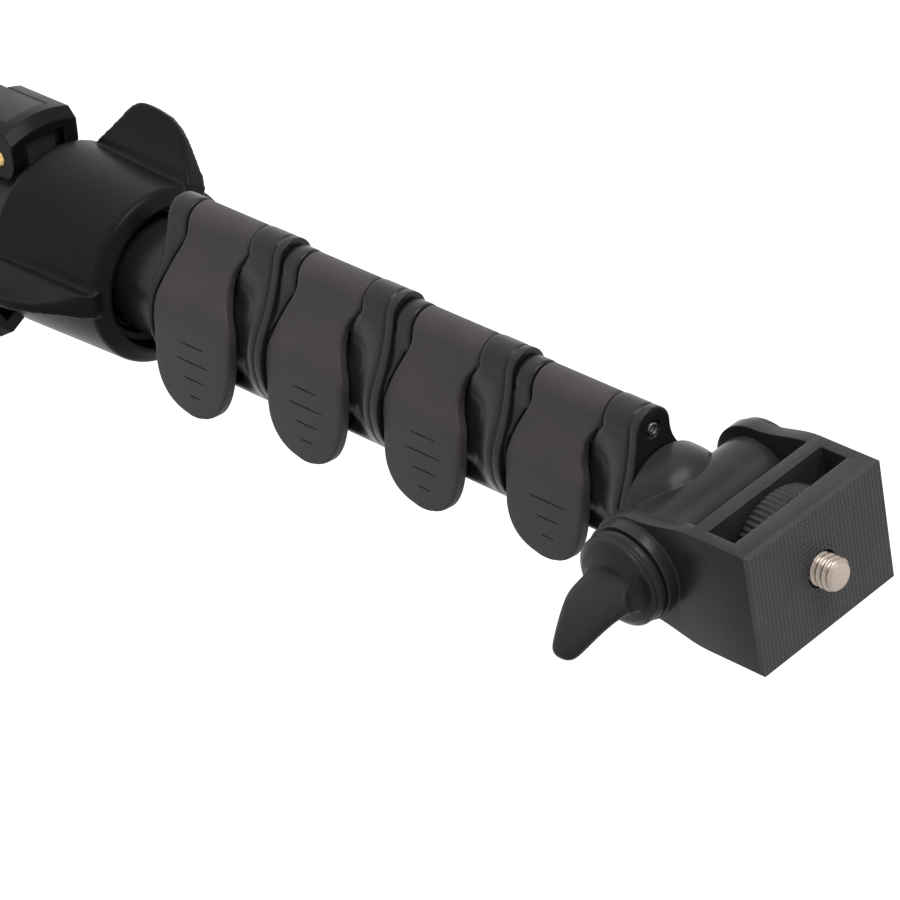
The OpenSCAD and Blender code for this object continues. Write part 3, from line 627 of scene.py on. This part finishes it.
class TRIPOD_OT_wheel(bpy.types.Operator):
    """Thumbwheel with rounded ribs and eased rims"""
    bl_idname = "tripod.wheel"
    bl_label = "Thumbwheel"
    hub = 2.52
    steps_per_rib = 8
    rib_share = (0.15, 0.75, 1, 1, 1, 1, 0.75, 0.15)

    def execute(self, context):
        sizes = context.scene.tripod_sizes
        low, high, reach = Head.wheel_low, Head.wheel_high, Head.wheel_r
        depth = sizes.rib_depth * 1000
        rim = [(reach - 1.1, 0.0), (reach - 0.42, 0.12), (reach - 0.1, 0.45), (reach, 0.8)]
        dish = [(reach - 2.2, 0), (reach - 2.5, 0.3), (5.8, 0.3), (5.5, 0), (self.hub, 0)]
        rings = ([(r, low + d) for r, d in rim] + [(r, high - d) for r, d in reversed(rim)]
                 + [(r, high - d) for r, d in dish] + [(r, low + d) for r, d in reversed(dish)])

        def radius(number, r, along, a):
            if number >= len(self.rib_share):
                return r
            wave = 0.5 - 0.5 * math.cos(a * sizes.ribs)
            return r - depth * self.rib_share[number] * wave ** 1.6

        around = sizes.ribs * self.steps_per_rib
        mesh = put_together(grid_round(rings, around, radius, capped=False))
        piece = dress("thumbwheel", "ribbed", mesh)
        smooth_by_angle(piece.data, 35)
        return {"FINISHED"}


class TRIPOD_OT_knob(bpy.types.Operator):
    """Wing knob: a stepped disc and one broad blade that bends away and narrows to its tip"""
    bl_idname = "tripod.knob"
    bl_label = "Wing knob"
    # Sections of the blade: out, sideways, up, half height, half thickness
    sections = [(1.8, 0.3, 0.6, 7.4, 4.6), (3.6, 0.4, 0.7, 6.9, 3.7), (5.2, 0.6, 0.5, 6.3, 2.7),
                (8.0, 1.3, -0.5, 6.2, 2.0), (10.5, 3.2, -1.2, 5.2, 1.75),
                (13.0, 6.0, -2.0, 3.9, 1.55), (15.0, 8.3, -2.6, 2.9, 1.35),
                (15.8, 9.0, -2.75, 2.0, 1.0), (16.1, 9.3, -2.8, 0.8, 0.4)]
    around = 48
    dip_radius = 2.6
    dip_deep = 2.2
    dip_out = 5.1
    dip_side = -1.6
    dip_up = 7.4
    dip_stretch = 1.9

    def execute(self, context):
        x = Head.knob_low
        disc = grid_round([(8.6, x), (9.0, x + 0.4), (9.0, x + 1.5), (8.5, x + 1.8), (8.5, x + 2.2),
                           (8.9, x + 2.5), (8.7, x + 3.1), (7.4, x + 4.0), (5.0, x + 4.5)], 96,
                          **Head.tilt_axis)
        bore = rod(3.05, x - 1, x + 2.1, **Head.tilt_axis)
        mesh = put_together(disc, (self.blade(x),), (bore, self.dip(x)))
        piece = dress("wing_knob", "smooth", mesh)
        add_even_skin(piece, context.scene.tripod_sizes.knob_skin)
        add_soft_edges(piece, 7)
        apply_modifiers(piece)
        smooth_by_angle(piece.data, 60)
        return {"FINISHED"}

    def blade(self, x):
        """The bent blade, from rounded sections."""
        rows = []
        for number, (out, side, up, tall, thick) in enumerate(self.sections):
            before = self.sections[max(number - 1, 0)]
            after = self.sections[min(number + 1, len(self.sections) - 1)]
            run = Vector((after[0] - before[0], after[1] - before[1])).normalized()
            row = []
            for i in range(self.around):
                a = 2 * math.pi * i / self.around
                c, d = math.cos(a), math.sin(a)
                u = math.copysign(abs(c) ** 0.8, c) * tall
                v = math.copysign(abs(d) ** 0.7, d) * thick
                row.append((x + out - run.y * v, side + run.x * v, Head.tilt + up + u))
            rows.append(row)
        loose = skin_over("blade", rows)
        curve = loose.modifiers.new("Curve", "SUBSURF")
        curve.levels = 2
        apply_modifiers(loose)
        return loose

    def dip(self, x):
        """The long shallow dip where the blade meets the disc."""
        rings = []
        for i in range(1, 16):
            a = math.pi * i / 16
            rings.append((self.dip_radius * math.sin(a),
                          x + self.dip_out - self.dip_deep * math.cos(a)))
        side = self.dip_side
        loose = grid_round(rings, 40, axis="X", centre=(0, side, Head.tilt + self.dip_up))
        for vert in loose.data.vertices:
            vert.co.y = (side + (vert.co.y * 1000 - side) * self.dip_stretch) / 1000
        return loose


class Stage:
    """Sizes of one lever collar and its lever, in millimetres, with heights from the seam."""
    plate = 1.8
    wall = 2.1
    step = 1.2
    lug = 4.2
    fillet = 40.0
    hinge_side = 0.25
    hinge_out = 5.1
    gap = 0.45
    wrap_end = -10.0
    lever_proud = 0.2
    knuckle_low = -24.0
    knuckle_high = -7.0
    tip_z = -17.6

    def __init__(self, k):
        self.k = k
        self.top = level(f"collar_{k}", 1) - self.plate
        self.low = level(f"collar_{k}", 0) - self.top
        pin = f"hinge_pin_{k}"
        self.r = -(level(pin, 0, 1) + level(pin, 1, 1)) / 2 - self.hinge_out
        self.tube = self.r - self.wall - self.step
        self.hinge = Vector((self.hinge_side, -(self.r + self.hinge_out)))
        self.at_hinge = dict(centre=(self.hinge.x, self.hinge.y, 0))
        self.tab = 17.5 - 0.8 * (k - 1)
        turn = math.radians(self.wrap_end)
        self.tip = (self.r + self.lever_proud) * math.sin(turn) + self.tab * math.cos(turn)
        self.front, self.rear = self.borders()

    def borders(self):
        """Front and rear edge of the lever, as lines of (y, height) from hinge to tip."""
        h, tip, k = self.hinge.y, self.tip, self.k - 1
        dip, crest, crest_z = 1.5 - self.r, -0.26 * self.r, -6.9 - 0.6 * k
        waist, low = -0.45 * self.r, -28.4 + 0.15 * k
        end = (tip, self.tip_z)

        def line(knuckle, *curves):
            points = [(h - 9, knuckle), (h - 0.5, knuckle)]
            for steps, *guides in curves:
                points += curve_points(guides, steps)
            return points + [end]

        front = line(
            self.knuckle_high,
            (14, (h - 0.5, -7.0), (h + 1.3, -7.8), (h + 2.8, -10.2), (h + 5.4, -10.4)),
            (14, (dip, -10.4), (dip + 3, -10.4), (crest - 4, crest_z), (crest, crest_z)),
            (40, (crest, crest_z), (tip * 0.55, crest_z), (tip, -10.6), end))
        rear = line(
            self.knuckle_low,
            (16, (h, -24.0), (h + 3, -24.1), (h + 5.0, -27.4), (waist, low)),
            (6, (waist, low), (-0.1 * self.r, low), (tip * 0.25, low), (tip * 0.35, low)),
            (40, (tip * 0.35, low), (tip * 0.7, low), (tip, -25.6), end))
        return front, rear

    def edges(self, y):
        """Lowest and highest point of the lever at y."""
        return follow(self.rear, y), follow(self.front, y)

    def path(self, grow, shrink, start, last, tab=0.0):
        """Points and outward directions from the hinge barrel round to the far side."""
        big, small = self.r + grow, self.lug - shrink
        d = self.hinge.length
        u = self.hinge / d
        along = ((big + self.fillet) ** 2 - (small + self.fillet) ** 2 + d * d) / (2 * d)
        out = math.sqrt((big + self.fillet) ** 2 - along ** 2)
        centre = along * u + out * Vector((-u.y, u.x))
        to_centre = centre - self.hinge
        found = []

        def arc(middle, radius, a0, a1, sign=1):
            steps = max(2, int(abs(a1 - a0) * radius / self.gap))
            for i in range(steps):
                a = a0 + (a1 - a0) * i / steps
                n = Vector((math.cos(a), math.sin(a)))
                found.append((middle + n * radius, n * sign))

        a_lug = math.atan2(to_centre.y, to_centre.x) + 2 * math.pi
        arc(self.hinge, small, math.radians(start), a_lug)
        a0 = math.atan2(-to_centre.y, -to_centre.x)
        a1 = math.atan2(-centre.y, -centre.x)
        a1 -= 2 * math.pi * round((a1 - a0) / (2 * math.pi))
        arc(centre, self.fillet, a0, a1, -1)
        a_last = math.radians(last)
        arc(Vector((0, 0)), big, math.atan2(centre.y, centre.x), a_last)
        n = Vector((math.cos(a_last), math.sin(a_last)))
        found.append((n * big, n))
        ahead = Vector((-n.y, n.x))
        steps = int(tab / self.gap)
        found += [(n * big + ahead * tab * (i + 1) / steps, n) for i in range(steps)]
        return found


def section_at(at, out, pairs):
    """One row of a loft from (depth below the outline, height) pairs."""
    return [(at.x - out.x * d, at.y - out.y * d, z) for d, z in pairs]


def loft(name, rows, top):
    """Rows with heights from the seam joined into a solid, closed at both ends."""
    return skin_over(name, [[(x, y, z + top) for x, y, z in row] for row in rows])


class TRIPOD_OT_levers(bpy.types.Operator):
    """Leaf-shaped levers with rounded edges, a hinge barrel and five fine grip grooves"""
    bl_idname = "tripod.levers"
    bl_label = "Levers"
    thick = 1.5
    thick_more = 0.6
    edge_round = 0.6
    crown = 0.22
    across = 16
    barrel = 4.0
    pin_hole = 1.3
    groove_r = 0.22
    groove_deep = 0.13
    groove_pitch = 3.6
    groove_reach = (1.6, 3.0, 4.7, 3.4, 2.4)
    groove_z = -17.2

    def execute(self, context):
        for k in range(1, 5):
            stage = Stage(k)
            path = stage.path(stage.lever_proud, 0.1, 235, stage.wrap_end, stage.tab - 0.12)
            leaf = loft("lever", [self.section(stage, at, out) for at, out in path], stage.top)
            low, high = stage.top + stage.knuckle_low, stage.top + stage.knuckle_high
            eased = self.barrel - 0.3
            barrel = grid_round([(eased, low), (self.barrel, low + 0.3),
                                 (self.barrel, high - 0.3), (eased, high)], 64, **stage.at_hinge)
            hole = rod(self.pin_hole, low - 2, high + 2, 32, **stage.at_hinge)
            mesh = put_together(leaf, (barrel,), [hole] + self.grooves(stage))
            piece = dress(f"lever_{k}", "leaf", mesh)
            smooth_by_angle(piece.data, 42)
        return {"FINISHED"}

    def section(self, stage, at, out):
        """One section across the lever: its rounded face, its side walls and its underside."""
        across = self.across
        low, high = stage.edges(at.y)
        half, middle = (high - low) / 2, (high + low) / 2
        free = ease((at.y - stage.hinge.y - 4) / 5)
        edge = min(self.edge_round, half * 0.9)
        flat = half - edge
        face = []
        for i in range(6):
            a = math.pi / 2 * i / 5
            face.append((flat + edge * math.cos(a), edge - edge * math.sin(a)))
        inner = [(flat - 2 * flat * i / across, 0) for i in range(1, across)]
        other = [(-v, d) for v, d in reversed(face)]
        pairs = []
        for v, d in face + inner + other:
            u = v / half if half > 0 else 0
            pairs.append((d - self.crown * free * max(0, 1 - u * u), middle + v))
        for i in range(across + 1):
            toward_front = ease((i / across - 0.5) * 3)
            pairs.append((self.thick + self.thick_more * free * toward_front,
                          middle + (-half + 2 * half * i / across)))
        return section_at(at, out, pairs)

    def grooves(self, stage):
        """Slim lens-shaped cutters, the middle one longest."""
        found = []
        turn = math.radians(stage.wrap_end)
        out = Vector((math.cos(turn), math.sin(turn)))
        ahead = Vector((-out.y, out.x))
        for i, reach in enumerate(self.groove_reach):
            spot = (out * (stage.r + stage.lever_proud + self.groove_r - self.groove_deep)
                    + ahead * (stage.tab - 4.5 - self.groove_pitch * i))
            if spot.dot(ahead) < 0.3:
                continue
            rings = []
            for step in range(13):
                a = math.pi * step / 12
                rings.append((max(0.02, self.groove_r * math.sin(a) ** 0.5),
                              stage.top + self.groove_z - reach * math.cos(a)))
            found.append(grid_round(rings, 24, centre=(spot.x, spot.y, 0)))
        return found


def cut_flat(bm, height, keep_below):
    """Cuts a solid flat at a height, in millimetres, and closes it again."""
    cut = bmesh.ops.bisect_plane(bm, geom=bm.verts[:] + bm.edges[:] + bm.faces[:],
                                 plane_co=mm(0, 0, height), plane_no=(0, 0, 1),
                                 clear_outer=keep_below, clear_inner=not keep_below)
    rim = [e for e in cut["geom_cut"] if isinstance(e, bmesh.types.BMEdge)]
    bmesh.ops.holes_fill(bm, edges=rim)


class TRIPOD_OT_collars(bpy.types.Operator):
    """Lever collars with a soft hollow in front of the lever and a separate end plate"""
    bl_idname = "tripod.collars"
    bl_label = "Lever collars"
    rear_end = -29.6
    too_long = -30.5
    tube_room = 0.25
    barrel_room = 4.15
    hollow_deep = 2.15
    pin_hole = 1.28
    pin_mouth = 1.62
    plate_edge = 0.0004
    groove = 0.45

    def execute(self, context):
        fineness = context.scene.tripod_sizes.collar_skin
        for k in range(1, 5):
            stage = Stage(k)
            node = f"collar_{k}"
            bore = rod(stage.tube + self.tube_room, stage.top + stage.low - 2, stage.top + 2, 96)
            join(bore, rod(self.barrel_room, stage.top + (stage.knuckle_low - 0.2),
                           stage.top + (stage.knuckle_high + 0.2), 64, **stage.at_hinge))
            scoop = self.hollow(stage, -4)
            loose = self.filled(stage, node)
            piece = dress(node, "housing", loose.data)
            bpy.data.objects.remove(loose)
            add_even_skin(piece, fineness)
            add_boolean(piece, scoop, "DIFFERENCE")
            add_even_skin(piece, fineness)
            add_soft_edges(piece, 9)
            apply_modifiers(piece)
            add_boolean(piece, bore, "DIFFERENCE")
            apply_modifiers(piece)
            for tool in (scoop, bore):
                bpy.data.objects.remove(tool)
            join(piece, self.end_plate(stage))
            paint(piece, SLOT_OF[node])
            smooth_by_angle(piece.data, 50)
        return {"FINISHED"}

    def filled(self, stage, node):
        """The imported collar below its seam, with the hollow and the rear corner filled in."""
        bm = packed_shape(node)
        cut_flat(bm, stage.top - 0.05, keep_below=True)
        if stage.low < self.too_long:
            cut_flat(bm, stage.top + self.rear_end, keep_below=False)
        loose = blank("collar", bm)
        for fill in (self.hollow(stage, 2.2), self.rear_corner(stage)):
            join(loose, fill)
        return loose

    def hollow(self, stage, under):
        """The dip in front of the lever: as filling below it, or above it as the room it takes."""
        across = 14
        start = -0.07 if under < 0 else 0.04
        rows = []
        for at, out in stage.path(0, 0, 300, 62):
            if at.y <= stage.hinge.y + 0.2:
                continue
            edge = stage.edges(at.y)[1] + 0.25
            angle = math.degrees(math.atan2(at.y, at.x))
            grown = ease((at.y - stage.hinge.y + 0.5) / 9.0)
            deep = self.hollow_deep * grown * (1 - ease((angle - 20) / 16))
            face = []
            for i in range(across + 1):
                w = i / across
                face.append((start + deep * ease(w * 1.1), -0.75 + (edge + 0.75) * w))
            floor = 0.05 + deep
            if under > 0 and at.y > stage.hinge.y + 4.6:
                floor = floor if angle > 28 else max(floor, 2.3)
                face += [(floor, edge - 0.3), (floor, -14.4)]
            else:
                face += [(floor, edge - 0.01), (floor, edge - 0.02)]
            back = [(d + under, z) for d, z in reversed(face)]
            rows.append(section_at(at, out, face + back))
        return loft("hollow", rows, stage.top)

    def rear_corner(self, stage):
        """Fills the corner behind the lever's rear edge, flush with the collar."""
        end = self.rear_end
        rows = []
        for at, out in stage.path(0, 0, 300, -2):
            if at.y > stage.hinge.y:
                edge = stage.edges(at.y)[0] - 0.3
                middle = (edge + end) / 2
                rows.append(section_at(at, out, [(0.08, edge), (0.06, middle), (0.06, end),
                                                 (2.0, end), (2.0, middle), (2.0, edge)]))
        return loft("rear_corner", rows, stage.top)

    def end_plate(self, stage):
        """The plate above the seam, on a core that is drawn in to leave a fine groove."""
        low, high = stage.top + 0.12, stage.top + stage.plate
        mouth = rod(self.pin_mouth, high - 0.4, high + 1, 32, **stage.at_hinge)
        plate = self.layer(stage, 0, low, high, 0.06, mouth)
        round_edges(plate, self.plate_edge, 3, 40)
        join(plate, self.layer(stage, self.groove, stage.top - 0.8, stage.top + 0.8,
                               self.tube_room))
        return plate

    def layer(self, stage, inset, low, high, room, *cuts):
        """A flat layer in the collar's outline, with room for the tube and for the pin."""
        through = (stage.top - 3, stage.top + stage.plate + 1)
        holes = (rod(stage.tube + room, *through, 96),
                 rod(self.pin_hole, *through, 32, **stage.at_hinge))
        solid = upright(self.outline(stage, inset), low, high)
        return put("layer", put_together(solid, (), holes + cuts))

    def outline(self, stage, inset):
        """The collar's outline: round body, hinge lug and the fillets on both sides."""
        right = [at for at, out in stage.path(-inset, inset, 270, 90)]
        other = Stage(stage.k)
        other.fillet = 8.0
        other.hinge = Vector((-stage.hinge.x, stage.hinge.y))
        left = [Vector((-at.x, at.y)) for at, out in other.path(-inset, inset, 270, 90)]
        return right + left[::-1][1:-1]


class TRIPOD_OT_pins(bpy.types.Operator):
    """Rolled hinge pins with hollow ends"""
    bl_idname = "tripod.pins"
    bl_label = "Hinge pins"

    def execute(self, context):
        for k in range(1, 5):
            node = f"hinge_pin_{k}"
            low, high = level(node, 0), level(node, 1)
            end = [(0.3, 0.7), (0.72, 0.7), (0.8, 0), (1.08, 0), (1.24, 0.16)]
            rings = [(r, low + d) for r, d in end] + [(r, high - d) for r, d in reversed(end)]
            mesh = put_together(grid_round(rings, 40, **Stage(k).at_hinge))
            piece = dress(node, "rolled", mesh)
            smooth_by_angle(piece.data, 30)
        return {"FINISHED"}


class TRIPOD_OT_mouldings(bpy.types.Operator):
    """Round the edges of the tee and the leg tops, and soften the twist collar"""
    bl_idname = "tripod.mouldings"
    bl_label = "Moulded parts"
    tee_rounder = 1.7
    twist_coarser = 1.3

    def execute(self, context):
        sizes = context.scene.tripod_sizes
        self.eased("tee", sizes.edge * self.tee_rounder)
        self.softened("twist_collar", sizes.collar_skin * self.twist_coarser)
        for i in range(1, 4):
            self.eased(f"leg_top_{i}", sizes.edge)
        return {"FINISHED"}

    def eased(self, node, width):
        """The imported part's shape with its edges rounded."""
        bm = packed_shape(node, 4e-6)
        bmesh.ops.dissolve_limit(bm, angle_limit=math.radians(0.6), verts=bm.verts,
                                 edges=bm.edges, use_dissolve_boundaries=False)
        piece = dress(node, "dressed", to_mesh(node, bm))
        round_edges(piece, width, 2)
        weigh = piece.modifiers.new("Face weighted normals", "WEIGHTED_NORMAL")
        weigh.keep_sharp = True
        apply_modifiers(piece)

    def softened(self, node, fineness):
        """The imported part's shape with one even skin and soft edges."""
        piece = dress(node, "dressed", to_mesh(node, packed_shape(node)))
        add_even_skin(piece, fineness)
        add_soft_edges(piece, 6)
        apply_modifiers(piece)
        paint(piece, SLOT_OF[node])
        smooth_by_angle(piece.data, 60)


class TRIPOD_OT_stage(bpy.types.Operator):
    """Put up the pale floor, the soft lamps and the camera"""
    bl_idname = "tripod.stage"
    bl_label = "Studio"

    def execute(self, context):
        studio = context.scene.tripod_studio
        make_camera(studio.focal)
        context.scene.view_settings.view_transform = "Standard"
        make_floor()
        make_sky(studio.sky)
        soft_lamp("Key softbox", (-0.15, -1.0, 0.45), 0.9, 0.6, studio.key)
        soft_lamp("Fill softbox", (1.0, -0.35, 0.6), 1.0, 0.5, studio.fill * 0.6)
        soft_lamp("Back softbox", (-0.6, 0.2, 1.0), 1.2, 0.6, studio.fill)
        return {"FINISHED"}


def make_camera(focal):
    """The camera of the picture, rolled so that the pole runs down to the right."""
    right = Vector((-0.69839726, 0.1551075, 0.69870089))
    down = Vector((0.49771099, 0.80679011, 0.31839203))
    ahead = Vector((-0.51431997, 0.57011523, -0.64065871))
    data = bpy.data.cameras.new("Camera")
    data.sensor_fit = "HORIZONTAL"
    data.sensor_width = 36
    data.lens = focal
    data.clip_start = 0.05
    data.clip_end = 50
    camera = put("Camera", data)
    place = Matrix((right, -down, -ahead)).transposed().to_4x4()
    place.translation = Vector((0.437088, -0.472693, 0.853038))
    camera.matrix_world = place
    bpy.context.scene.camera = camera


def seen_by_eye(tree):
    """1 for camera, mirror and glass rays, 0 for the rays that carry light."""
    path = add(tree, "ShaderNodeLightPath")
    either = maths(tree, "MAXIMUM", path.outputs["Is Camera Ray"], path.outputs["Is Glossy Ray"])
    return maths(tree, "MAXIMUM", either, path.outputs["Is Transmission Ray"])


def make_floor():
    """A wide pale floor that glows only to the eye, so that it is nearly white."""
    bm = bmesh.new()
    bmesh.ops.create_grid(bm, x_segments=8, y_segments=8, size=6)
    floor = put("Floor", to_mesh("Floor", bm))
    mat, tree, shader = new_material("Pale floor")
    shader.inputs["Base Color"].default_value = (0.86, 0.86, 0.86, 1)
    shader.inputs["Roughness"].default_value = 0.9
    shader.inputs["Specular IOR Level"].default_value = 0.1
    shader.inputs["Emission Color"].default_value = (1, 1, 1, 1)
    glow = maths(tree, "MULTIPLY", seen_by_eye(tree), 0.8)
    tree.links.new(glow, shader.inputs["Emission Strength"])
    floor.data.materials.append(mat)


def make_sky(strength):
    """Even light of the given strength, seen as white."""
    world = bpy.data.worlds.new("Studio")
    world.use_nodes = True
    bpy.context.scene.world = world
    tree = world.node_tree
    shade = tree.nodes["Background"]
    shade.inputs["Color"].default_value = (1, 1, 1, 1)
    light = add(tree, "ShaderNodeMix", {"data_type": "FLOAT"}, i0=seen_by_eye(tree),
                i2=strength, i3=1.0)
    tree.links.new(light.outputs[0], shade.inputs["Strength"])


def soft_lamp(name, direction, width, height, power):
    """A soft lamp that looks at the upper collars from the given direction."""
    aim, away, direction = mm(0, 0, 330), 1.3, Vector(direction)
    data = bpy.data.lights.new(name, "AREA")
    data.shape = "RECTANGLE"
    data.size = width
    data.size_y = height
    data.energy = power
    lamp = put(name, data)
    lamp.location = aim + direction.normalized() * away
    lamp.rotation_euler = (-direction).to_track_quat("-Z", "Y").to_euler()


class TRIPOD_PT_parts(bpy.types.Panel):
    """Sizes, colours and pieces of the tripod"""
    bl_label = "Folded Camera Tripod"
    bl_idname = "TRIPOD_PT_parts"
    bl_space_type = "VIEW_3D"
    bl_region_type = "UI"
    bl_category = "Tripod"

    def draw(self, context):
        for group in PROPERTY_GROUPS:
            box = self.layout.box()
            values = getattr(context.scene, group)
            for name in values.bl_rna.properties.keys():
                if name not in ("rna_type", "name"):
                    box.prop(values, name)
        for operator in OPERATORS:
            self.layout.operator(operator.bl_idname)


OPERATORS = [TRIPOD_OT_finishes, TRIPOD_OT_mouldings, TRIPOD_OT_levers, TRIPOD_OT_collars,
             TRIPOD_OT_pins, TRIPOD_OT_bracket, TRIPOD_OT_screw,
             TRIPOD_OT_wheel, TRIPOD_OT_knob, TRIPOD_OT_stage]
PROPERTY_GROUPS = {"tripod_colours": TripodColours, "tripod_sizes": TripodSizes,
                   "tripod_studio": TripodStudio}
CLASSES = [*PROPERTY_GROUPS.values(), *OPERATORS, TRIPOD_PT_parts]


def register():
    for cls in CLASSES:
        bpy.utils.register_class(cls)
    for name, cls in PROPERTY_GROUPS.items():
        setattr(bpy.types.Scene, name, PointerProperty(type=cls))


def unregister():
    for name in PROPERTY_GROUPS:
        delattr(bpy.types.Scene, name)
    for cls in reversed(CLASSES):
        bpy.utils.unregister_class(cls)


def main():
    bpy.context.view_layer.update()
    register()
    for operator in OPERATORS:
        group, action = operator.bl_idname.split(".")
        getattr(getattr(bpy.ops, group), action)()


if __name__ == "__main__":
    main()
